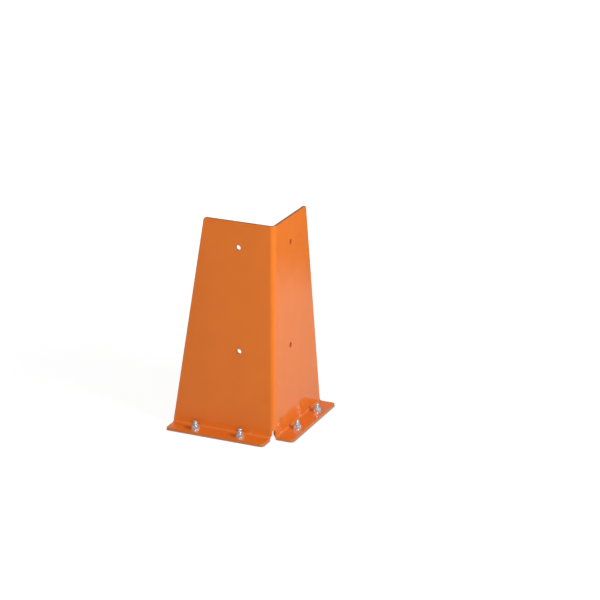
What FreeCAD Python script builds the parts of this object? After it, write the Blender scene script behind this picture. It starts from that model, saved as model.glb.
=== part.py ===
import FreeCAD, Part
import math
import os
import Sketcher

# A guard for the corner column of a pallet rack. One thick steel sheet is folded into an upright
# angle, and its lower edges are bent outwards into two floor flanges. Four wedge anchors, each of
# a stud, an expansion clip, a washer and a nut, hold the flanges to the floor.
#
# The origin is where the planes of the two inner faces meet the floor, at the corner that the
# column stands in. The left leg runs along -X and its flange points to -Y. The right leg runs
# along +Y and its flange points to +X. +Z is up, and the flanges lie on the floor at z = 0.

# Driving sizes in millimetres
SIZES = {
    # The folded sheet. Widths along a leg are taken from the outer face of the other leg, and the
    # relief slot's width is measured halfway through the sheet.
    "guard_height": 400,
    "leg_width_foot": 200,
    "leg_width_top": 135,
    "sheet_thickness": 5,
    "bend_radius": 4,
    "flange_reach": 31,
    "flange_corner_radius": 5,
    "top_corner_radius": 5,
    "relief_slot_width": 4.5,
    "relief_slot_rise": 10,
    "relief_slot_corner_radius": 1,
    # Holes in the legs
    "leg_hole_diameter": 9,
    "leg_hole_inset": 69,
    "leg_hole_low": 160,
    "leg_hole_high": 353,
    # Places of the anchors on the flanges
    "anchor_inset": 60,
    "anchor_spacing": 88,
    "anchor_reach": 17,
    "flange_hole_clearance": 0.5,
    # The stud: thread at the top, as a cylinder of its mean diameter, then the plain shank, the
    # neck for the clip, and the cone and land at the bottom
    "stud_diameter": 8,
    "stud_length": 75,
    "stud_above_nut": 8.4,
    "stud_chamfer": 0.45,
    "thread_diameter": 7.2,
    "thread_length": 35,
    "neck_diameter": 5.6,
    "cone_length": 5,
    "cone_land": 2,
    # The expansion clip round the neck
    "clip_length": 12,
    "clip_clearance": 0.1,
    "clip_below_shank": 0.1,
    "clip_slit_width": 0.8,
    "clip_slit_length": 8,
    # The washer and the nut
    "washer_diameter": 16,
    "washer_thickness": 1.6,
    "washer_clearance": 0.2,
    "nut_width": 13,
    "nut_height": 6.5,
    "thread_clearance": 0.05,
}
# What stays the same at any size
FOLD_ANGLE = 90
NUT_SIDES = 6
CLIP_SLITS = 3
# Two places closer than this, in millimetres, are the same place
SAME_PLACE = 0.001

# Formulas in those sizes that several features share
BEND_TOP = "(sizes.sheet_thickness + sizes.bend_radius)"
FOOT_TIP = "(sizes.leg_width_foot - sizes.sheet_thickness)"
TOP_TIP = "(sizes.leg_width_top - sizes.sheet_thickness)"
FLANGE_EDGE = "(sizes.sheet_thickness + sizes.flange_reach)"
HOLE_ALONG = "(sizes.leg_hole_inset - sizes.sheet_thickness)"
ANCHOR_OUT = "(sizes.sheet_thickness + sizes.anchor_reach)"
ANCHOR_INNER = "(sizes.anchor_inset - sizes.sheet_thickness)"
ANCHOR_OUTER = "(sizes.anchor_inset + sizes.anchor_spacing - sizes.sheet_thickness)"
WASHER_TOP = "(sizes.sheet_thickness + sizes.washer_thickness)"
NUT_TOP = f"({WASHER_TOP} + sizes.nut_height)"
STUD_TOP = f"({NUT_TOP} + sizes.stud_above_nut)"
STUD_BOTTOM = f"({STUD_TOP} - sizes.stud_length)"
STUD_RADIUS = "(sizes.stud_diameter / 2)"
THREAD_RADIUS = "(sizes.thread_diameter / 2)"
CONE_TOP = f"({STUD_BOTTOM} + sizes.cone_land + sizes.cone_length)"
NECK_TOP = f"({CONE_TOP} + sizes.clip_length + sizes.clip_below_shank)"
THREAD_END = f"({STUD_TOP} - sizes.thread_length)"

# The two legs: the origin plane that a leg lies in, the plane across it, and the sign of both the
# leg's direction in the first and its flange's direction in the second
LEGS = {
    "left": ("XZ_Plane", "YZ_Plane", "-"),
    "right": ("YZ_Plane", "XZ_Plane", ""),
}
# The anchors: their place along X and Y
ANCHORS = {
    "left_outer": (f"-{ANCHOR_OUTER}", f"-{ANCHOR_OUT}"),
    "left_inner": (f"-{ANCHOR_INNER}", f"-{ANCHOR_OUT}"),
    "right_inner": (ANCHOR_OUT, ANCHOR_INNER),
    "right_outer": (ANCHOR_OUT, ANCHOR_OUTER),
}

doc = FreeCAD.newDocument("column_guard")
sheet = doc.addObject("Spreadsheet::Sheet", "sizes")
for row, (alias, size) in enumerate(SIZES.items(), start=1):
    sheet.set(f"A{row}", str(size))
    sheet.setAlias(f"A{row}", alias)
doc.recompute()


def value(formula):
    """The number that a formula in the sheet's sizes gives."""
    return float(sheet.evalExpression(formula))


def new_body(name):
    """A body whose label is the sub-part's name."""
    body = doc.addObject("PartDesign::Body", name)
    body.Label = name
    return body


def new_sketch(body, name, role, offset=None, turn=0):
    """A sketch on one of the body's origin planes, turned about its upright axis by an angle in
    degrees and moved along its normal by a formula."""
    sketch = body.newObject("Sketcher::SketchObject", name)
    plane = next(item for item in body.Origin.OriginFeatures if item.Role == role)
    sketch.AttachmentSupport = [(plane, "")]
    sketch.MapMode = "FlatFace"
    sketch.AttachmentOffset = FreeCAD.Placement(
        FreeCAD.Vector(), FreeCAD.Rotation(FreeCAD.Vector(0, 1, 0), turn)
    )
    if offset:
        sketch.setExpression("AttachmentOffset.Base.z", offset)
    return sketch


def tie(sketch, kind, items, formula):
    """A dimension in the sketch that follows a formula."""
    index = sketch.addConstraint(Sketcher.Constraint(kind, *items, value(formula)))
    sketch.setExpression(f"Constraints[{index}]", formula)


def draw_outline(sketch, corners):
    """A closed outline. Each corner is two formulas, and the stretch after it is a straight line,
    or an arc under a half turn where the corner adds a radius and the way it turns."""
    points = [FreeCAD.Vector(value(corner[0]), value(corner[1])) for corner in corners]
    ends = []
    for number, corner in enumerate(corners):
        start, end = points[number], points[(number + 1) % len(points)]
        if len(corner) == 2:
            ends.append((sketch.addGeometry(Part.LineSegment(start, end)), 1, 2))
            continue
        radius, left = value(corner[2]), corner[3] == "left"
        chord = end - start
        side = FreeCAD.Vector(-chord.y, chord.x).normalize() * (1 if left else -1)
        height = math.sqrt(max(radius ** 2 - chord.Length ** 2 / 4, 0))
        centre = start + chord / 2 + side * height
        first, last = (start, end) if left else (end, start)
        angles = [math.atan2(at.y - centre.y, at.x - centre.x) for at in (first, last)]
        circle = Part.Circle(centre, FreeCAD.Vector(0, 0, 1), radius)
        index = sketch.addGeometry(Part.ArcOfCircle(circle, *angles))
        ends.append((index, 1, 2) if left else (index, 2, 1))
    for number, corner in enumerate(corners):
        index, begin, _ = ends[number]
        before, _, finish = ends[number - 1]
        sketch.addConstraint(Sketcher.Constraint("Coincident", before, finish, index, begin))
        tie(sketch, "DistanceX", (-1, 1, index, begin), corner[0])
        tie(sketch, "DistanceY", (-1, 1, index, begin), corner[1])
        if len(corner) > 2:
            tie(sketch, "Radius", (index,), corner[2])


def draw_circle(sketch, along, up, radius):
    """A circle with its centre and radius as formulas."""
    centre = FreeCAD.Vector(value(along), value(up))
    circle = Part.Circle(centre, FreeCAD.Vector(0, 0, 1), value(radius))
    index = sketch.addGeometry(circle)
    tie(sketch, "DistanceX", (-1, 1, index, 3), along)
    tie(sketch, "DistanceY", (-1, 1, index, 3), up)
    tie(sketch, "Radius", (index,), radius)


def pad(body, sketch, length):
    """Material from the sketch along its normal."""
    feature = body.newObject("PartDesign::Pad", f"{sketch.Name}_pad")
    feature.Profile = sketch
    feature.setExpression("Length", length)
    return feature


def cut(body, sketch, length=None):
    """A cut through the whole body to both sides of the sketch, or to the sketch's front side only
    where a length is given."""
    doc.recompute()
    before = body.Shape.Volume
    feature = body.newObject("PartDesign::Pocket", f"{sketch.Name}_cut")
    feature.Profile = sketch
    if length:
        feature.Reversed = True
        feature.setExpression("Length", length)
    else:
        feature.Type = "ThroughAll"
        feature.Midplane = True
    doc.recompute()
    if not body.Shape.Volume < before:
        raise RuntimeError(f"{feature.Name} removes nothing")
    return feature


def revolve(body, sketch):
    """A full turn of the sketch about its upright axis."""
    feature = body.newObject("PartDesign::Revolution", f"{sketch.Name}_turned")
    feature.Profile = sketch
    feature.ReferenceAxis = (sketch, ["V_Axis"])
    feature.Angle = 360
    return feature


def round_edges(body, name, radius, chosen):
    """A fillet on the edges that a test picks by their end points."""
    doc.recompute()
    base = body.Tip
    edges = [
        f"Edge{number}"
        for number, edge in enumerate(base.Shape.Edges, start=1)
        if chosen([vertex.Point for vertex in edge.Vertexes])
    ]
    feature = body.newObject("PartDesign::Fillet", name)
    feature.Base = (base, edges)
    feature.setExpression("Radius", radius)
    return feature


def at(points, **place):
    """Whether an edge's two end points both lie at the given x, y or z."""
    return len(points) == 2 and all(
        abs(getattr(point, axis) - place[axis]) < SAME_PLACE
        for point in points
        for axis in place
    )


def make_fold(body):
    """The upright fold: a quarter ring that joins the two legs."""
    outline = new_sketch(body, "fold", "XY_Plane", BEND_TOP)
    radius = "sizes.bend_radius"
    draw_outline(outline, [
        (f"-{radius}", "-sizes.sheet_thickness", BEND_TOP, "left"),
        ("sizes.sheet_thickness", radius),
        ("0", radius, radius, "right"),
        (f"-{radius}", "0"),
    ])
    pad(body, outline, f"sizes.guard_height - {BEND_TOP}")


def make_leg(body, side):
    """One leg from the bend at its foot to the top, with its free edge sloping in."""
    plane, _, sign = LEGS[side]
    outline = new_sketch(body, f"{side}_leg", plane)
    draw_outline(outline, [
        (f"{sign}sizes.bend_radius", BEND_TOP),
        (f"{sign}{FOOT_TIP}", BEND_TOP),
        (f"{sign}{TOP_TIP}", "sizes.guard_height"),
        (f"{sign}sizes.bend_radius", "sizes.guard_height"),
    ])
    pad(body, outline, "sizes.sheet_thickness")


def make_flange(body, side):
    """One floor flange with its bend. It ends where the upright fold begins."""
    _, plane, sign = LEGS[side]
    concave, convex = ("right", "left") if sign else ("left", "right")
    outline = new_sketch(body, f"{side}_flange", plane, f"-{FOOT_TIP}")
    draw_outline(outline, [
        (f"{sign}sizes.sheet_thickness", BEND_TOP, "sizes.bend_radius", concave),
        (f"{sign}{BEND_TOP}", "sizes.sheet_thickness"),
        (f"{sign}{FLANGE_EDGE}", "sizes.sheet_thickness"),
        (f"{sign}{FLANGE_EDGE}", "0"),
        (f"{sign}{BEND_TOP}", "0", BEND_TOP, convex),
        ("0", BEND_TOP),
    ])
    pad(body, outline, f"{FOOT_TIP} - sizes.bend_radius")


def make_guard():
    """The folded sheet: fold, legs, flanges, rounded corners, relief slot and holes."""
    body = new_body("guard")
    make_fold(body)
    for side in LEGS:
        make_leg(body, side)
        make_flange(body, side)
    # Rounded free corners of the legs and of both ends of each flange
    top, tip, foot = value("sizes.guard_height"), value(TOP_TIP), value(FOOT_TIP)
    edge, inner = value(FLANGE_EDGE), value("sizes.bend_radius")
    round_edges(
        body, "top_corners", "sizes.top_corner_radius",
        lambda ends: at(ends, x=-tip, z=top) or at(ends, y=tip, z=top),
    )
    round_edges(
        body, "flange_corners", "sizes.flange_corner_radius",
        lambda ends: any(
            at(ends, x=-along, y=-edge) or at(ends, x=edge, y=along) for along in (foot, inner)
        ),
    )
    # The slot that relieves the fold between the two flange bends. It is cut while the sheet is
    # flat, so folding turns its walls towards the axis of the fold.
    slot = new_sketch(body, "relief_slot", "XY_Plane")
    half = "(sizes.relief_slot_width / (2 * sizes.bend_radius + sizes.sheet_thickness) * 180 / pi)"
    walls = [f"({FOLD_ANGLE} / 2 + {half})", f"({FOLD_ANGLE} / 2 - {half})"]
    draw_outline(slot, [("-sizes.bend_radius", "sizes.bend_radius")] + [
        (
            f"2 * {BEND_TOP} * cos{wall} - sizes.bend_radius",
            f"sizes.bend_radius - 2 * {BEND_TOP} * sin{wall}",
        )
        for wall in walls
    ])
    cut(body, slot, f"{BEND_TOP} + sizes.relief_slot_rise")
    roof = value(f"{BEND_TOP} + sizes.relief_slot_rise")
    round_edges(
        body, "relief_slot_corners", "sizes.relief_slot_corner_radius",
        lambda ends: at(ends, z=roof) and abs(
            (ends[0] - ends[1]).Length - value("sizes.sheet_thickness")
        ) < SAME_PLACE,
    )
    # Holes in the legs, one above the other
    for side, (plane, _, sign) in LEGS.items():
        holes = new_sketch(body, f"{side}_leg_holes", plane)
        for level in ("sizes.leg_hole_low", "sizes.leg_hole_high"):
            draw_circle(holes, f"{sign}{HOLE_ALONG}", level, "sizes.leg_hole_diameter / 2")
        cut(body, holes)
    # Holes in the flanges, wide enough for the studs to pass
    holes = new_sketch(body, "flange_holes", "XY_Plane")
    for along, across in ANCHORS.values():
        draw_circle(holes, along, across, f"{STUD_RADIUS} + sizes.flange_hole_clearance")
    cut(body, holes)
    return body


def make_stud(name):
    """A wedge anchor's stud, turned in one piece and measured up from the floor."""
    body = new_body(f"{name}_anchor_stud")
    profile = new_sketch(body, f"{name}_stud_profile", "XZ_Plane")
    neck = "(sizes.neck_diameter / 2)"
    draw_outline(profile, [
        ("0", STUD_BOTTOM),
        (STUD_RADIUS, STUD_BOTTOM),
        (STUD_RADIUS, f"{STUD_BOTTOM} + sizes.cone_land"),
        (neck, CONE_TOP),
        (neck, NECK_TOP),
        (STUD_RADIUS, NECK_TOP),
        (STUD_RADIUS, THREAD_END),
        (THREAD_RADIUS, THREAD_END),
        (THREAD_RADIUS, f"{STUD_TOP} - sizes.stud_chamfer"),
        (f"{THREAD_RADIUS} - sizes.stud_chamfer", STUD_TOP),
        ("0", STUD_TOP),
    ])
    revolve(body, profile)
    return body


def make_clip(name):
    """The expansion clip: a sleeve round the neck, split down one side and slit from below."""
    body = new_body(f"{name}_expansion_clip")
    ring = new_sketch(body, f"{name}_clip_ring", "XY_Plane", CONE_TOP)
    draw_circle(ring, "0", "0", STUD_RADIUS)
    draw_circle(ring, "0", "0", "sizes.neck_diameter / 2 + sizes.clip_clearance")
    pad(body, ring, "sizes.clip_length")
    # The first slit is the split: it runs the whole length, and the others stop short of the top
    half = "(sizes.clip_slit_width / 2)"
    for number in range(CLIP_SLITS):
        height = "sizes.clip_slit_length" if number else "sizes.clip_length"
        turn = 360 / CLIP_SLITS * number
        slit = new_sketch(body, f"{name}_clip_slit_{number}", "XZ_Plane", turn=turn)
        draw_outline(slit, [
            (f"-{half}", CONE_TOP),
            (half, CONE_TOP),
            (half, f"{CONE_TOP} + {height}"),
            (f"-{half}", f"{CONE_TOP} + {height}"),
        ])
        cut(body, slit, "sizes.stud_diameter")
    return body


def make_washer(name):
    """The flat washer."""
    body = new_body(f"{name}_washer")
    ring = new_sketch(body, f"{name}_washer_ring", "XY_Plane", "sizes.sheet_thickness")
    draw_circle(ring, "0", "0", "sizes.washer_diameter / 2")
    draw_circle(ring, "0", "0", f"{STUD_RADIUS} + sizes.washer_clearance")
    pad(body, ring, "sizes.washer_thickness")
    return body


def make_nut(name):
    """The hexagon nut, with two of its corners along X."""
    body = new_body(f"{name}_nut")
    hexagon = new_sketch(body, f"{name}_nut_hexagon", "XY_Plane", WASHER_TOP)
    corner = f"(sizes.nut_width / 2 / cos(180 / {NUT_SIDES}))"
    turns = [f"({number} * 360 / {NUT_SIDES})" for number in range(NUT_SIDES)]
    draw_outline(hexagon, [(f"{corner} * cos{turn}", f"{corner} * sin{turn}") for turn in turns])
    draw_circle(hexagon, "0", "0", f"{THREAD_RADIUS} + sizes.thread_clearance")
    pad(body, hexagon, "sizes.nut_height")
    return body


bodies = [make_guard()]
for anchor, (along, across) in ANCHORS.items():
    for make in (make_stud, make_clip, make_washer, make_nut):
        body = make(anchor)
        body.setExpression("Placement.Base.x", along)
        body.setExpression("Placement.Base.y", across)
        bodies.append(body)
doc.recompute()

faulty = [item.Name for item in doc.Objects if {"Invalid", "Error"} & set(item.State)]
faulty += [body.Label for body in bodies if body.Shape.isNull() or not body.Shape.isValid()]
faulty += [body.Label for body in bodies if len(body.Shape.Solids) != 1]
if faulty:
    raise RuntimeError(f"not built: {faulty}")

os.makedirs("parts", exist_ok=True)
for body in bodies:
    body.Shape.exportStep(f"parts/{body.Label}.step")
print(f"{len(bodies)} sub-parts written")
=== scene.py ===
import math

import bpy
import numpy as np
from mathutils import Matrix, Vector
from mathutils.geometry import delaunay_2d_cdt


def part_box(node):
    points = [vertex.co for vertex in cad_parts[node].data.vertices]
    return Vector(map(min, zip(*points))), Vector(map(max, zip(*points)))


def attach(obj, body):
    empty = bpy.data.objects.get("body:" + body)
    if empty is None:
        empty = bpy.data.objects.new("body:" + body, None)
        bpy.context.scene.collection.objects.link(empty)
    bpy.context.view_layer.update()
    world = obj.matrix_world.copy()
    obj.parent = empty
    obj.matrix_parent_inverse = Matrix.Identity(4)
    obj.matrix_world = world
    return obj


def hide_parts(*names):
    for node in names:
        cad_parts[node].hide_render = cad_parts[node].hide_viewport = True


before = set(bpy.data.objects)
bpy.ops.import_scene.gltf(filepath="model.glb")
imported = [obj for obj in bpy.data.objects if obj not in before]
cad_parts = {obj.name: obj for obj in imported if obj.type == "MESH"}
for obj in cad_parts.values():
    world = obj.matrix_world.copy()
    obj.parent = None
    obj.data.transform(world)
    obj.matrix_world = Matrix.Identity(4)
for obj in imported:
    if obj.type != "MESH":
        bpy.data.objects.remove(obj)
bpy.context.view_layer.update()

# Lengths are in metres. The origin is where the planes of the two inner faces meet the floor.
MM = 0.001

# The folded sheet. A bend's quarter circle is measured halfway through the sheet.
_, GUARD_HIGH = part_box("guard")
SHEET = 5 * MM
BEND_INSIDE = 4 * MM
BEND_OUTSIDE = BEND_INSIDE + SHEET
BEND_MIDDLE = BEND_INSIDE + SHEET / 2
QUARTER = math.pi / 2 * BEND_MIDDLE
FOOT_TIP = GUARD_HIGH.y
TOP_TIP = 130 * MM
HEIGHT = GUARD_HIGH.z
TOP_CORNER = 5 * MM
FLANGE_CORNER = 5 * MM
FREE_EDGE_CORNER = 2 * MM
FLANGE_ROOT_CORNER = 0.45 * MM
SLOT_HALF = 2.25 * MM
SLOT_TOP = BEND_OUTSIDE + 10 * MM
SLOT_CORNER = 1 * MM
EDGE_ROUNDING = 0.6 * MM
HOLE_RADIUS = 4.5 * MM
LEG_HOLE_ALONG = 64 * MM
LEG_HOLE_HEIGHTS = (160 * MM, 353 * MM)

# The same sheet before it was folded: along it from the middle of the fold, and up it
FOLD_HALF = QUARTER / 2
FLAT_SHIFT = FOLD_HALF - BEND_INSIDE
FLAT_TIP = FOOT_TIP + FLAT_SHIFT
FLAT_TOP_TIP = TOP_TIP + FLAT_SHIFT
FLAT_LOW = BEND_OUTSIDE - QUARTER - (GUARD_HIGH.x - BEND_OUTSIDE)

# How finely the bends, the rounded edges, the corners and the holes are divided
FOLD_COLUMNS = 12
BEND_ROWS = 16
EDGE_STEPS = 4
CORNER_STEPS = 9
HOLE_STEPS = 48

# How near each other two points count as one, and to how many digits places are looked up
SAME_POINT = 1e-9
DIGITS = 7

# How much a flange's edge is darkened, partly for the thinner coat on a cut edge and partly as
# painted shade, where a leg's edge is darkened wholly
FLANGE_EDGE_DARKENING = 0.3

# The anchors
ANCHORS = ("left_outer", "left_inner", "right_inner", "right_outer")
THREAD_PITCH = 1.25 * MM
THREAD_CREST = 3.95 * MM
THREAD_DEPTH = 0.76 * MM
THREAD_LENGTH = 35 * MM
THREAD_FADE = 1.5 * THREAD_PITCH
THREAD_ROWS = 12
STUD_CHAMFER = 0.8 * MM
NECK_RADIUS = 2.8 * MM
NECK_BELOW_TOP = 55.9 * MM
# How far above the stud's lower end its straight foot ends, and the cone over it
LAND_HEIGHT = 2 * MM
CONE_END = 7 * MM
WASHER_BORE = 4.2 * MM
WASHER_ROUNDING = 0.25 * MM
WASHER_CORNER_STEPS = 5
NUT_ACROSS = 13 * MM
NUT_SIDES = 6
# Radii of the nut's corners, of the inner edge of its crown, of its bore and its countersink
NUT_CORNER = 7.44 * MM
NUT_CROWN = 6.15 * MM
NUT_BORE = THREAD_CREST + 0.05 * MM
NUT_SINK = THREAD_CREST + 0.45 * MM
# Shares of a nut's side where its columns stand, closer together at the corners
SIDE_SHARES = (0, 0.006, 0.014, 0.03, 0.08, 0.18, 0.34, 0.5, 0.66, 0.82, 0.92, 0.97, 0.986, 0.994)
TURN_STEPS = 64
TURN = 2 * math.pi * np.arange(TURN_STEPS) / TURN_STEPS


def middle_of(node):
    """The middle of a solid's box."""
    low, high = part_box(node)
    return (low + high) / 2


def unit(vectors):
    """Vectors scaled to length one."""
    return vectors / np.linalg.norm(vectors, axis=-1, keepdims=True)


def grid_faces(rows, across, ring):
    """Quads of a grid whose columns close, and whose rows close too where it is a ring."""
    row = np.arange(rows if ring else rows - 1)[:, None]
    here = np.arange(across)[None, :]
    above = (row + 1) % rows * across
    following = (here + 1) % across
    row = row * across
    corners = row + here, row + following, above + following, above + here
    return np.stack(corners, -1).reshape(-1, 4)


def add_piece(name, points, faces, material, node):
    """A mesh object that stands for one solid."""
    mesh = bpy.data.meshes.new(name)
    mesh.from_pydata(points.tolist(), [], faces)
    mesh.validate()
    mesh.shade_smooth()
    mesh.materials.append(material)
    piece = bpy.data.objects.new(name, mesh)
    bpy.context.scene.collection.objects.link(piece)
    even = piece.modifiers.new("even_normals", "WEIGHTED_NORMAL")
    even.mode = "FACE_AREA_WITH_ANGLE"
    even.keep_sharp = True
    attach(piece, "root")
    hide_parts(node)
    return piece


def fold(flat, depth):
    """Points of the flat sheet (along, up) at a depth below its visible face, folded into place.

    Below the floor bend's line the distance left is first wound round a quarter circle and then
    laid out flat, which gives how far a point stands out from the leg's face and how high. The
    same is done along the sheet for the upright fold: the nearest place on the quarter circle
    gives the direction to stand out in, and what is left of the distance goes along the leg."""
    along, up = flat[..., 0], flat[..., 1]
    down = np.maximum(BEND_OUTSIDE - up, 0)
    wound = np.minimum(down, QUARTER)
    angle = wound / BEND_MIDDLE
    radius = BEND_INSIDE + depth
    out = np.where(down > 0, BEND_INSIDE - radius * np.cos(angle) + (down - wound), -depth)
    height = np.where(down > 0, BEND_OUTSIDE - radius * np.sin(angle), up)
    round_fold = np.clip(along, -FOLD_HALF, FOLD_HALF)
    facing = round_fold / BEND_MIDDLE - math.pi / 4
    straight = along - round_fold
    reach = BEND_OUTSIDE + out
    x = -BEND_INSIDE + reach * np.cos(facing) - straight * np.sin(facing)
    y = BEND_INSIDE + reach * np.sin(facing) + straight * np.cos(facing)
    return np.stack([x, y, height], -1)


def flat_corners():
    """Corners (along, up, radius) of the flat sheet, anticlockwise: the right half from the relief
    slot round to the top, and the same mirrored. Corners with no radius only divide the straight
    edges that the bends turn into arcs."""
    rows = BEND_OUTSIDE - QUARTER * np.arange(1, BEND_ROWS + 1) / BEND_ROWS
    columns = FOLD_HALF * np.arange(FOLD_COLUMNS, 0, -1) / FOLD_COLUMNS
    # The fold's columns that are clear of the rounded corners at the slot and the flange
    clear = columns[4:1:-1]
    right = [
        (SLOT_HALF, SLOT_TOP, SLOT_CORNER),
        (SLOT_HALF, BEND_OUTSIDE, SLOT_CORNER),
        *[(column, BEND_OUTSIDE, 0) for column in clear],
        (FOLD_HALF, BEND_OUTSIDE, FLANGE_ROOT_CORNER),
        *[(FOLD_HALF, row, 0) for row in rows],
        (FOLD_HALF, FLAT_LOW, FLANGE_CORNER),
        (FLAT_TIP, FLAT_LOW, FLANGE_CORNER),
        *[(FLAT_TIP, row, 0) for row in rows[::-1]],
        (FLAT_TIP, BEND_OUTSIDE, FREE_EDGE_CORNER),
        (FLAT_TOP_TIP, HEIGHT, TOP_CORNER),
        *[(column, HEIGHT, 0) for column in columns],
    ]
    left = [(-along, up, radius) for along, up, radius in reversed(right)]
    return np.array(right + [(0, HEIGHT, 0)] + left)


def rounded_outline(corners, inset, steps=CORNER_STEPS):
    """The outline through the corners, moved inwards, and the number of each corner's first point.

    A corner moves by the sum of its two edges' normals over one plus their product, and an
    outer corner's radius shrinks by the inset while an inner one's grows. Each arc is the rational
    quadratic curve between its two tangent points, weighted by the cosine of half the turn, which
    is a true circle."""
    places, radii = corners[:, :2], corners[:, 2]
    before = unit(places - np.roll(places, 1, 0))
    after = unit(np.roll(places, -1, 0) - places)
    normals = [np.stack([way[:, 1], -way[:, 0]], -1) for way in (before, after)]
    cosine = (before * after).sum(1)
    outer = np.sign(before[:, 0] * after[:, 1] - before[:, 1] * after[:, 0])
    places = places - inset * (normals[0] + normals[1]) / (1 + cosine)[:, None]
    radii = np.where(radii > 0, radii - inset * outer, 0)
    reach = (radii * np.sqrt((1 - cosine) / (1 + cosine)))[:, None]
    start, end = places - before * reach, places + after * reach
    weight = np.sqrt((1 + cosine) / 2)
    pieces = []
    for place, radius, first, last, middle in zip(places, radii, start, end, weight):
        share = np.linspace(0, 1, steps if radius > 0 else 1)[:, None]
        parts = (1 - share) ** 2, 2 * share * (1 - share) * middle, share ** 2
        pieces.append((parts[0] * first + parts[1] * place + parts[2] * last) / sum(parts))
    firsts = np.cumsum([0] + [len(piece) for piece in pieces[:-1]])
    return np.concatenate(pieces), firsts


def circle(centre, radius):
    """A clockwise circle of points, so that the material is on its left."""
    turn = -2 * math.pi * np.arange(HOLE_STEPS) / HOLE_STEPS
    return np.array(centre) + radius * np.stack([np.cos(turn), np.sin(turn)], -1)


def hole_places():
    """The middles of the holes in the flat sheet: two in each leg, and one for each stud."""
    holes = [(side * (LEG_HOLE_ALONG + FLAT_SHIFT), up)
             for side in (-1, 1) for up in LEG_HOLE_HEIGHTS]
    for name in ANCHORS:
        x, y, _ = middle_of(f"{name}_anchor_stud")
        side, along, out = (-1, -x, -y) if name.startswith("left") else (1, y, x)
        up = BEND_OUTSIDE - QUARTER - (out - BEND_OUTSIDE)
        holes.append((side * (along + FLAT_SHIFT), up))
    return holes


def edge_profile():
    """The rounded edge from the visible face to the other one: how far each row lies inside the
    outline and how deep, as two quarter circles with the straight wall between them."""
    turn = np.linspace(0, math.pi / 2, EDGE_STEPS + 1)
    inset = EDGE_ROUNDING * (1 - np.sin(turn))
    depth = EDGE_ROUNDING * (1 - np.cos(turn))
    return np.concatenate([inset, inset[::-1]]), np.concatenate([depth, SHEET - depth[::-1]])


def inner_lines(corners, firsts, count):
    """Lines across a face of the sheet that keep its triangles within the bends: one up each
    column of the fold and one along each row of a floor bend. Gives the points added to the
    outline's own, numbered on from count, and the lines as pairs of numbers."""
    number = {(round(x, DIGITS), round(y, DIGITS)): index
              for (x, y, _), index in zip(corners, firsts)}
    added, lines = [], []
    # The lines stop this far from an edge that they don't end on
    above_slot, above_bend, from_side = 1.5 * MM, 2 * MM, 1.5 * MM
    # A column nearer the middle than this starts above the slot
    slot_side = SLOT_HALF + EDGE_ROUNDING + 0.4 * MM

    def point(along, up):
        added.append((along, up))
        return count + len(added) - 1

    for step in range(-FOLD_COLUMNS, FOLD_COLUMNS + 1):
        column = FOLD_HALF * step / FOLD_COLUMNS
        over_slot = abs(column) < slot_side
        low = SLOT_TOP + above_slot if over_slot else BEND_OUTSIDE + above_bend
        top = number[round(column, DIGITS), round(HEIGHT, DIGITS)]
        lines.append((point(column, low), top))
    for side in (-1, 1):
        near, far = side * FOLD_HALF, side * FLAT_TIP
        inside = side * from_side
        lines.append((point(near + inside, BEND_OUTSIDE), point(far - inside, BEND_OUTSIDE)))
        for step in range(1, BEND_ROWS + 1):
            row = round(BEND_OUTSIDE - QUARTER * step / BEND_ROWS, DIGITS)
            lines.append((number[round(near, DIGITS), row], number[round(far, DIGITS), row]))
    return added, lines


def fill(rims, corners, firsts, count):
    """Triangles over one face of the flat sheet, within the rim of its outline and outside those
    of its holes. A rim is its points and their numbers. Gives the points added between them,
    numbered on from count, and the triangles. A triangle with all its points on one hole's rim
    would lie in the hole, so it is left out."""
    flat = np.concatenate([part for part, _ in rims])
    numbers = np.concatenate([part for _, part in rims])
    owner = np.repeat(np.arange(len(rims)), [len(part) for part, _ in rims])
    loops, start = [], 0
    for part, _ in rims:
        here = start + np.arange(len(part))
        loops += np.stack([here, np.roll(here, -1)], -1).tolist()
        start += len(part)
    added, lines = inner_lines(corners, firsts, len(flat))
    flat = np.concatenate([flat, added])
    numbers = np.concatenate([numbers, count + np.arange(len(added))])
    owner = np.concatenate([owner, np.zeros(len(added), int)])
    # The kind of result that holds triangles, and none outside the outline
    within_outline = 2
    filled = delaunay_2d_cdt(
        [Vector(point) for point in flat], loops + lines, [], within_outline, SAME_POINT)
    # Each point of the result is traced back to the one that it came from
    origin = np.array([source[0] for source in filled[3]])
    triangles = origin[np.array(filled[2])]
    owners = owner[triangles]
    in_hole = (owners[:, 0] > 0) & (owners == owners[:, :1]).all(1)
    return np.array(added), numbers[triangles[~in_hole]]


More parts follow.
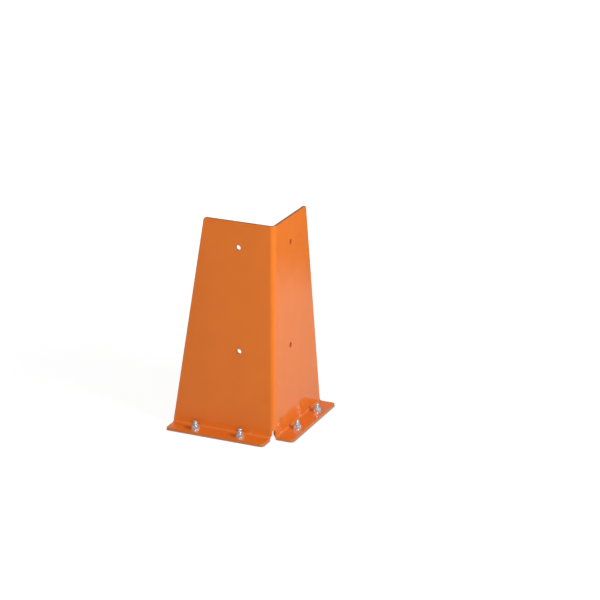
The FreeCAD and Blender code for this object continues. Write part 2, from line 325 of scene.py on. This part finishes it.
def folded_sheet():
    """Vertices and faces of the whole sheet, and for each vertex how much its edge is darkened,
    partly for the thinner coat on a cut edge and partly as painted shade: wholly on the legs, and
    less on the flanges. The edge is the rounded profile carried along the outline and round each
    hole; each of the two faces is filled with triangles between the first or last row of those
    edges; all of it is then folded."""
    insets, depths = edge_profile()
    corners = flat_corners()
    outlines = [rounded_outline(corners, inset) for inset in insets]
    bands = [np.stack([outline for outline, _ in outlines])]
    bands += [np.stack([circle(hole, HOLE_RADIUS + inset) for inset in insets])
              for hole in hole_places()]
    points, faces, cut, count = [], [], [], 0
    rims = {0: [], len(insets) - 1: []}
    for band in bands:
        rows, across = band.shape[:2]
        points.append(fold(band, depths[:, None]).reshape(-1, 3))
        # The rows go down from the visible face, so the quads are turned over to face outwards
        faces += (count + grid_faces(rows, across, False)[:, [0, 3, 2, 1]]).tolist()
        # The edge's inner rows are darkened, partly for the thinner coat on a cut edge and partly
        # as painted shade; less on the flanges
        on_edge = np.isin(np.arange(rows), [0, rows - 1], invert=True)
        share = np.where(band[..., 1] > BEND_OUTSIDE, 1.0, FLANGE_EDGE_DARKENING)
        cut.append((on_edge[:, None] * share).ravel())
        for row in rims:
            rims[row].append((band[row], count + row * across + np.arange(across)))
        count += rows * across
    for row, face_rims in rims.items():
        added, triangles = fill(face_rims, corners, outlines[row][1], count)
        points.append(fold(added, depths[row]))
        cut.append(np.zeros(len(added)))
        count += len(added)
        faces += (triangles if row == 0 else triangles[:, ::-1]).tolist()
    return np.concatenate(points), faces, np.concatenate(cut)


def place_round(rows, turn, centre):
    """Points on circles: radius and height of each row and column, turned about the centre."""
    radius, height = rows
    x = centre[0] + radius * np.cos(turn)
    y = centre[1] + radius * np.sin(turn)
    return np.stack([x, y, height + 0 * turn], -1)


def make_stud(name, material):
    """The threaded stud, turned about its axis.

    The profile goes from the middle of the lower end up to the middle of the upper one. On the
    thread the radius falls by a depth that depends on how far a point is from the crest along
    the axis, where the crest climbs one pitch a turn; the depth fades out at the thread's end.
    The crest is an eighth of the pitch wide, and the two flanks are sixty degrees apart."""
    node = f"{name}_anchor_stud"
    low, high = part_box(node)
    centre, shank = (low + high) / 2, (high.x - low.x) / 2
    thread_end, thread_top = high.z - THREAD_LENGTH, high.z - STUD_CHAMFER
    shank_end, crest_start = thread_end - 1.2 * MM, thread_end - 1.0 * MM
    land_top, cone_top = low.z + LAND_HEIGHT, low.z + CONE_END
    neck, neck_top = NECK_RADIUS, high.z - NECK_BELOW_TOP
    # The lower rim is rounded over its first measure, through a point in from it and up from it
    rim, rim_in, rim_up = 0.5 * MM, 0.3 * MM, 0.08 * MM
    soft = 0.12 * MM
    plain = [
        (0, low.z), (shank - rim, low.z), (shank - rim_in, low.z + rim_up),
        (shank, low.z + rim), (shank, land_top - soft), (shank - soft / 2, land_top + soft),
        (neck + soft / 2, cone_top - soft), (neck, cone_top + soft), (neck, neck_top - soft),
        (neck + soft, neck_top), (shank - soft, neck_top), (shank, neck_top + soft),
        (shank, shank_end), (THREAD_CREST, crest_start),
    ]
    count = round((thread_top - thread_end) / THREAD_PITCH * THREAD_ROWS)
    threaded = [(THREAD_CREST, height) for height in np.linspace(thread_end, thread_top, count)]
    tip = [(THREAD_CREST - STUD_CHAMFER * share, thread_top + STUD_CHAMFER * share)
           for share in (0.33, 0.66, 0.95)]
    tip += [(THREAD_CREST - STUD_CHAMFER - soft, high.z), (0, high.z)]
    rows = np.array(plain + threaded + tip)
    widths, heights = rows[:, :1], rows[:, 1:]
    phase = heights / THREAD_PITCH - TURN / (2 * math.pi)
    off_crest = np.abs(phase - np.round(phase)) * THREAD_PITCH
    slope = np.clip((off_crest - THREAD_PITCH / 16) * math.sqrt(3), 0, THREAD_DEPTH)
    fade = np.clip((heights - thread_end) / THREAD_FADE, 0, 1)
    cut = np.minimum(widths, THREAD_CREST - slope * fade)
    radius = np.where(heights < thread_end, widths, cut)
    inner = place_round((radius, heights), TURN, centre)[1:-1].reshape(-1, 3)
    ends = np.array([(centre.x, centre.y, low.z), (centre.x, centre.y, high.z)])
    faces = grid_faces(len(rows) - 2, TURN_STEPS, False).tolist()
    here = np.arange(TURN_STEPS)
    following = (here + 1) % TURN_STEPS
    last = len(inner) - TURN_STEPS
    bottom, top = (np.full(TURN_STEPS, len(inner) + end) for end in range(2))
    faces += np.stack([following, here, bottom], -1).tolist()
    faces += np.stack([last + here, last + following, top], -1).tolist()
    add_piece(f"{name}_threaded_stud", np.concatenate([inner, ends]), faces, material,
              node)


def make_washer(name, material):
    """The pressed washer: a rectangle with rounded corners carried round the stud."""
    node = f"{name}_washer"
    low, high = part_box(node)
    rim = (high.x - low.x) / 2
    section = [(WASHER_BORE, low.z), (rim, low.z), (rim, high.z), (WASHER_BORE, high.z)]
    corners = np.column_stack([section, np.full(len(section), WASHER_ROUNDING)])
    rows, _ = rounded_outline(corners, 0, WASHER_CORNER_STEPS)
    points = place_round((rows[:, :1], rows[:, 1:]), TURN, (low + high) / 2)
    faces = grid_faces(len(rows), TURN_STEPS, True).tolist()
    add_piece(f"{name}_pressed_washer", points.reshape(-1, 3), faces, material,
              node)


def make_nut(name, material):
    """The hexagon nut. Round it, the side's radius is half the width over the cosine of the angle
    from the nearest flat, capped just short of the corner. Both ends are crowned by a cone that
    starts inside the flats and falls by the tangent of thirty degrees, so it bites deepest at the
    corners. The bore is countersunk at both ends."""
    node = f"{name}_nut"
    low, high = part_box(node)
    sector = 2 * math.pi / NUT_SIDES
    turn = ((np.arange(NUT_SIDES)[:, None] + np.array(SIDE_SHARES)) * sector).ravel()
    off_flat = np.abs(turn % sector - sector / 2)
    side = np.minimum(NUT_ACROSS / 2 / np.cos(off_flat), NUT_CORNER)
    drop = (side - NUT_CROWN) * math.tan(math.radians(30))
    soft, level = 0.08 * MM, np.zeros_like(turn)
    # Radius, and distance from the end, of each row from the bore to the middle of the sides
    half = [
        (NUT_BORE, NUT_SINK - NUT_BORE), (NUT_SINK - soft, 0.8 * soft), (NUT_SINK + soft, 0),
        (NUT_CROWN - soft, 0), (NUT_CROWN + soft, 0.5 * soft),
        (side - soft, drop - 0.6 * soft), (side, drop + soft),
    ]
    radius = np.stack([reach + level for reach, _ in half + half[::-1]])
    height = np.stack([low.z + off_end + level for _, off_end in half]
                      + [high.z - off_end + level for _, off_end in half[::-1]])
    points = place_round((radius, height), turn, (low + high) / 2)
    faces = grid_faces(len(radius), len(turn), True).tolist()
    add_piece(f"{name}_crowned_nut", points.reshape(-1, 3), faces, material,
              node)


class Recipe:
    """The nodes of a material or of the world, added one after another."""

    def __init__(self, owner):
        owner.use_nodes = True
        self.owner = owner
        self.tree = owner.node_tree

    def node(self, kind, **settings):
        made = self.tree.nodes.new(kind)
        for key, setting in settings.items():
            setattr(made, key, setting)
        return made

    def link(self, source, target):
        self.tree.links.new(source, target)

    def feed(self, name, source):
        """Links a source to the surface shader's input of that name."""
        self.link(source, self.tree.nodes["Principled BSDF"].inputs[name])

    def place(self):
        return self.node("ShaderNodeTexCoord").outputs["Object"]

    def stretched(self, source, scale):
        made = self.node("ShaderNodeMapping")
        made.inputs["Scale"].default_value = scale
        self.link(source, made.inputs["Vector"])
        return made.outputs["Vector"]

    def noise(self, vector, scale, detail):
        made = self.node("ShaderNodeTexNoise")
        made.inputs["Scale"].default_value = scale
        made.inputs["Detail"].default_value = detail
        self.link(vector, made.inputs["Vector"])
        return made.outputs["Fac"]

    def ramp(self, source, start, end, low, high, kind="LINEAR"):
        """Low where the source is at its start, high at its end, and a slope between them."""
        made = self.node("ShaderNodeMapRange", interpolation_type=kind)
        limits = {"From Min": start, "From Max": end, "To Min": low, "To Max": high}
        for key, setting in limits.items():
            made.inputs[key].default_value = setting
        self.link(source, made.inputs["Value"])
        return made.outputs["Result"]

    def spread(self, noise, low, high):
        """A noise's usual range, from 0.3 to 0.7, spread over low to high."""
        return self.ramp(noise, 0.3, 0.7, low, high)

    def distance(self, place, centre):
        made = self.node("ShaderNodeVectorMath", operation="DISTANCE")
        self.link(place, made.inputs[0])
        made.inputs[1].default_value = centre
        return made.outputs["Value"]

    def combined(self, operation, first, *others):
        """The first source combined with each of the others in turn, as a product or the like."""
        for other in others:
            made = self.node("ShaderNodeMath", operation=operation)
            self.link(first, made.inputs[0])
            self.link(other, made.inputs[1])
            first = made.outputs[0]
        return first

    def openness(self, distance):
        """How much of the sky over a point is free of anything within a distance."""
        made = self.node("ShaderNodeAmbientOcclusion", samples=8)
        made.inputs["Distance"].default_value = distance
        return made.outputs["AO"]

    def blend(self, share, first, second):
        """From the first to the second, each a colour or a source."""
        made = self.node("ShaderNodeMix", data_type="RGBA")
        self.link(share, made.inputs["Factor"])
        for key, colour in (("A", first), ("B", second)):
            if isinstance(colour, tuple):
                made.inputs[key].default_value = (*colour, 1)
            else:
                self.link(colour, made.inputs[key])
        return made.outputs["Result"]

    def bump(self, height, distance, below=None):
        made = self.node("ShaderNodeBump")
        made.inputs["Distance"].default_value = distance
        self.link(height, made.inputs["Height"])
        if below is not None:
            self.link(below, made.inputs["Normal"])
        return made.outputs["Normal"]

    def shader(self, kind, **inputs):
        made = self.node(kind)
        for key, setting in inputs.items():
            made.inputs[key].default_value = setting
        return made.outputs[0]

    def mixed(self, share, first, second):
        made = self.node("ShaderNodeMixShader")
        for index, source in enumerate((share, first, second)):
            self.link(source, made.inputs[index])
        return made.outputs[0]


def powder_coat():
    """Glossy orange powder coat: slow changes of shade, the fine orange peel of the cured powder
    and the slight waves of pressed sheet under it. It is darker on the cut edges, partly for the
    thinner coat there and partly as painted shade."""
    recipe = Recipe(bpy.data.materials.new("orange_powder_coat"))
    place = recipe.place()
    shade = recipe.spread(recipe.noise(place, 18, 3), 0, 1)
    face = recipe.blend(shade, (0.825, 0.194, 0.0195), (0.850, 0.202, 0.0215))
    # The edges take a darker colour: partly the thinner coat on a cut edge, partly painted shade
    edge = recipe.node("ShaderNodeAttribute", attribute_name="cut_edge_and_shade").outputs["Fac"]
    recipe.feed("Base Color", recipe.blend(edge, face, (0.52, 0.120, 0.016)))
    recipe.feed("Roughness", recipe.spread(recipe.noise(place, 260, 3), 0.09, 0.13))
    waves = recipe.bump(recipe.noise(place, 14, 1), 0.0015)
    recipe.feed("Normal", recipe.bump(recipe.noise(place, 620, 2), 0.00003, waves))
    return recipe.owner


def bright_zinc():
    """Bright zinc plating under its clear film: mostly metal, between cool and neutral, with fine
    grain."""
    recipe = Recipe(bpy.data.materials.new("zinc_plated_steel"))
    recipe.tree.nodes["Principled BSDF"].inputs["Metallic"].default_value = 0.80
    place = recipe.place()
    tint = recipe.spread(recipe.noise(place, 160, 2), 0, 1)
    recipe.feed("Base Color", recipe.blend(tint, (0.62, 0.74, 0.85), (0.79, 0.84, 0.85)))
    recipe.feed("Roughness", recipe.spread(recipe.noise(place, 900, 3), 0.20, 0.28))
    recipe.feed("Normal", recipe.bump(recipe.noise(place, 2600, 3), 0.00002))
    return recipe.owner


def clip_steel():
    """Plain spring steel, brushed along the stud."""
    recipe = Recipe(bpy.data.materials.new("clip_steel"))
    recipe.tree.nodes["Principled BSDF"].inputs["Metallic"].default_value = 1
    grain = recipe.noise(recipe.stretched(recipe.place(), (3000, 3000, 120)), 1, 3)
    tint = recipe.spread(grain, 0, 1)
    recipe.feed("Base Color", recipe.blend(tint, (0.50, 0.50, 0.49), (0.62, 0.62, 0.61)))
    recipe.feed("Roughness", recipe.spread(grain, 0.28, 0.45))
    recipe.feed("Normal", recipe.bump(grain, 0.00002))
    return recipe.owner


def seen_rays(recipe):
    """One for rays from the camera, off a gloss or through glass, and nought for soft light. The
    second output is one only off a gloss."""
    path = recipe.node("ShaderNodeLightPath").outputs
    glossy = path["Is Glossy Ray"]
    seen = recipe.combined("MAXIMUM", path["Is Camera Ray"], glossy, path["Is Transmission Ray"])
    return seen, glossy


def floor_paint():
    """The pale floor's material. Seen straight it is white, with a faint soft shadow, a painted
    dark contact shadow under the object and a painted soft shade between the legs. In a gloss it
    shows a painted glow, brightest in a patch behind the object to the right, greyer to the left
    and dark elsewhere. For the light it spreads it is plain pale paint."""
    recipe = Recipe(bpy.data.materials.new("pale_floor"))
    recipe.tree.nodes.remove(recipe.tree.nodes["Principled BSDF"])
    seen, glossy = seen_rays(recipe)
    place = recipe.place()
    from_fold = recipe.distance(place, (0, 0, 0))
    split = recipe.node("ShaderNodeSeparateXYZ")
    recipe.link(place, split.inputs[0])
    x, y = split.outputs["X"], split.outputs["Y"]
    # Seen straight: a painted contact shadow under the object, a painted shade between the legs,
    # and the white further off
    painted_contact_shadow = recipe.ramp(recipe.openness(0.004), 0.5, 0.92, 0.1, 1.0)
    # Painted shade on the floor inside the corner between the legs, deepest near the fold
    behind_left = recipe.ramp(y, 0.0, 0.024, 0.0, 1.0)
    behind_right = recipe.ramp(x, 0.0, -0.024, 0.0, 1.0)
    shade = recipe.ramp(from_fold, 0.02, 0.12, 0.5, 0.0, "SMOOTHSTEP")
    between = recipe.combined("MULTIPLY", behind_left, behind_right, shade)
    corner = recipe.ramp(between, 0.0, 1.0, 1.0, 0.0)
    far_white = recipe.ramp(from_fold, 0.6, 1.4, 0.90, 1.0)
    straight = recipe.combined("MULTIPLY", painted_contact_shadow, corner, far_white)
    # In a gloss: a painted glow, grey to the left, and a bright patch
    left_grey = recipe.ramp(x, -0.2, 0.3, 0.22, 0.0)
    from_patch = recipe.distance(place, (0.3, 0.35, 0))
    patch = recipe.ramp(from_patch, 0.34, 0.62, 0.48, 0.0, "SMOOTHSTEP")
    bright = recipe.node("ShaderNodeMix", data_type="FLOAT")
    recipe.link(glossy, bright.inputs[0])
    recipe.link(straight, bright.inputs[2])
    recipe.link(recipe.combined("MAXIMUM", left_grey, patch), bright.inputs[3])
    glow = recipe.node("ShaderNodeEmission")
    recipe.link(bright.outputs[0], glow.inputs["Strength"])
    shown = recipe.node("ShaderNodeAddShader")
    recipe.link(recipe.shader("ShaderNodeBsdfDiffuse", Color=(0.2, 0.2, 0.2, 1)), shown.inputs[0])
    recipe.link(glow.outputs[0], shown.inputs[1])
    paint = recipe.shader("ShaderNodeBsdfDiffuse", Color=(0.78, 0.78, 0.78, 1))
    surface = recipe.mixed(seen, paint, shown.outputs[0])
    recipe.link(surface, recipe.tree.nodes["Material Output"].inputs["Surface"])
    return recipe.owner


def make_floor():
    """A wide square just under the flanges."""
    side, level = 6.0, -0.2 * MM
    corners = [(x * side, y * side, level) for x, y in ((-1, -1), (1, -1), (1, 1), (-1, 1))]
    mesh = bpy.data.meshes.new("studio_floor")
    mesh.from_pydata(corners, [], [(0, 1, 2, 3)])
    mesh.materials.append(floor_paint())
    floor = bpy.data.objects.new("studio_floor", mesh)
    bpy.context.scene.collection.objects.link(floor)


def add_lamp(name, way, distance, size, level, mirrored=True):
    """A square soft lamp that faces the object. The level is the share of white that a white
    surface square to it would show. A lamp that isn't mirrored leaves no spot in a gloss."""
    lamp = bpy.data.lights.new(name, "AREA")
    lamp.shape, lamp.size = "SQUARE", size
    lamp.energy = level * math.pi ** 2 * distance ** 2
    holder = bpy.data.objects.new(name, lamp)
    direction = Vector(way).normalized()
    holder.location = direction * distance + Vector((0, 0, HEIGHT / 2))
    holder.rotation_euler = direction.to_track_quat("Z", "Y").to_euler()
    holder.visible_glossy = mirrored
    bpy.context.scene.collection.objects.link(holder)


def make_light():
    """A dim even surround that is seen as white, and in a gloss as light grey. A soft key lamp
    from the right is near enough to be stronger at the top of the object. A softer and lower lamp
    stands beside the camera, and a low lamp behind lights the inner faces."""
    world = bpy.data.worlds.new("studio")
    bpy.context.scene.world = world
    recipe = Recipe(world)
    soft = recipe.tree.nodes["Background"]
    soft.inputs["Color"].default_value = (1, 1, 1, 1)
    soft.inputs["Strength"].default_value = 0.16
    white = recipe.node("ShaderNodeBackground")
    white.inputs["Color"].default_value = (1, 1, 1, 1)
    seen, glossy = seen_rays(recipe)
    recipe.link(recipe.ramp(glossy, 0.0, 1.0, 1.0, 0.4), white.inputs["Strength"])
    surround = recipe.mixed(seen, soft.outputs[0], white.outputs[0])
    recipe.link(surround, recipe.tree.nodes["World Output"].inputs["Surface"])
    add_lamp("key", (0.820, -0.190, 0.540), 1.5, 0.5, 0.69)
    add_lamp("fill", (0.443, -0.858, 0.259), 3.0, 1.2, 0.40)
    add_lamp("back", (-0.665, 0.720, 0.200), 3.0, 1.6, 0.50, mirrored=False)


def make_camera():
    """The photograph's view. Its place, direction and focal length were fitted to the guard's
    corners, holes and stud tops in a picture of 600 by 600 pixels."""
    place = Vector((1.670911, -3.62651, 1.715431))
    azimuth, elevation, roll = (math.radians(angle) for angle in (24.062, 19.966, 0.123))
    focal_pixels, picture_pixels, sensor = 2444.473, 600, 36.0
    level_reach = math.cos(elevation)
    ahead = Vector((-math.sin(azimuth) * level_reach, math.cos(azimuth) * level_reach,
                    -math.sin(elevation)))
    level = ahead.cross(Vector((0, 0, 1))).normalized()
    above = level.cross(ahead)
    right = math.cos(roll) * level + math.sin(roll) * above
    up = math.cos(roll) * above - math.sin(roll) * level
    data = bpy.data.cameras.new("camera")
    data.sensor_width = sensor
    data.lens = focal_pixels / picture_pixels * sensor
    camera = bpy.data.objects.new("camera", data)
    turned = Matrix((right, up, -ahead)).transposed().to_4x4()
    camera.matrix_world = Matrix.Translation(place) @ turned
    bpy.context.scene.collection.objects.link(camera)
    bpy.context.scene.camera = camera


def make_sheet():
    """The folded sheet, with its cut edges marked for the powder coat's darkening, which is partly
    thinner coat and partly painted shade.
    """
    points, faces, cut = folded_sheet()
    sheet = add_piece("folded_sheet", points, faces, powder_coat(), "guard")
    marks = sheet.data.attributes.new("cut_edge_and_shade", "FLOAT", "POINT")
    marks.data.foreach_set("value", cut)


make_sheet()
zinc = bright_zinc()
spring = clip_steel()
for anchor in ANCHORS:
    make_stud(anchor, zinc)
    make_washer(anchor, zinc)
    make_nut(anchor, zinc)
    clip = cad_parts[f"{anchor}_expansion_clip"].data
    clip.materials.clear()
    clip.materials.append(spring)
make_floor()
make_light()
make_camera()
bpy.context.scene.view_settings.view_transform = "Standard"
bpy.context.view_layer.update()
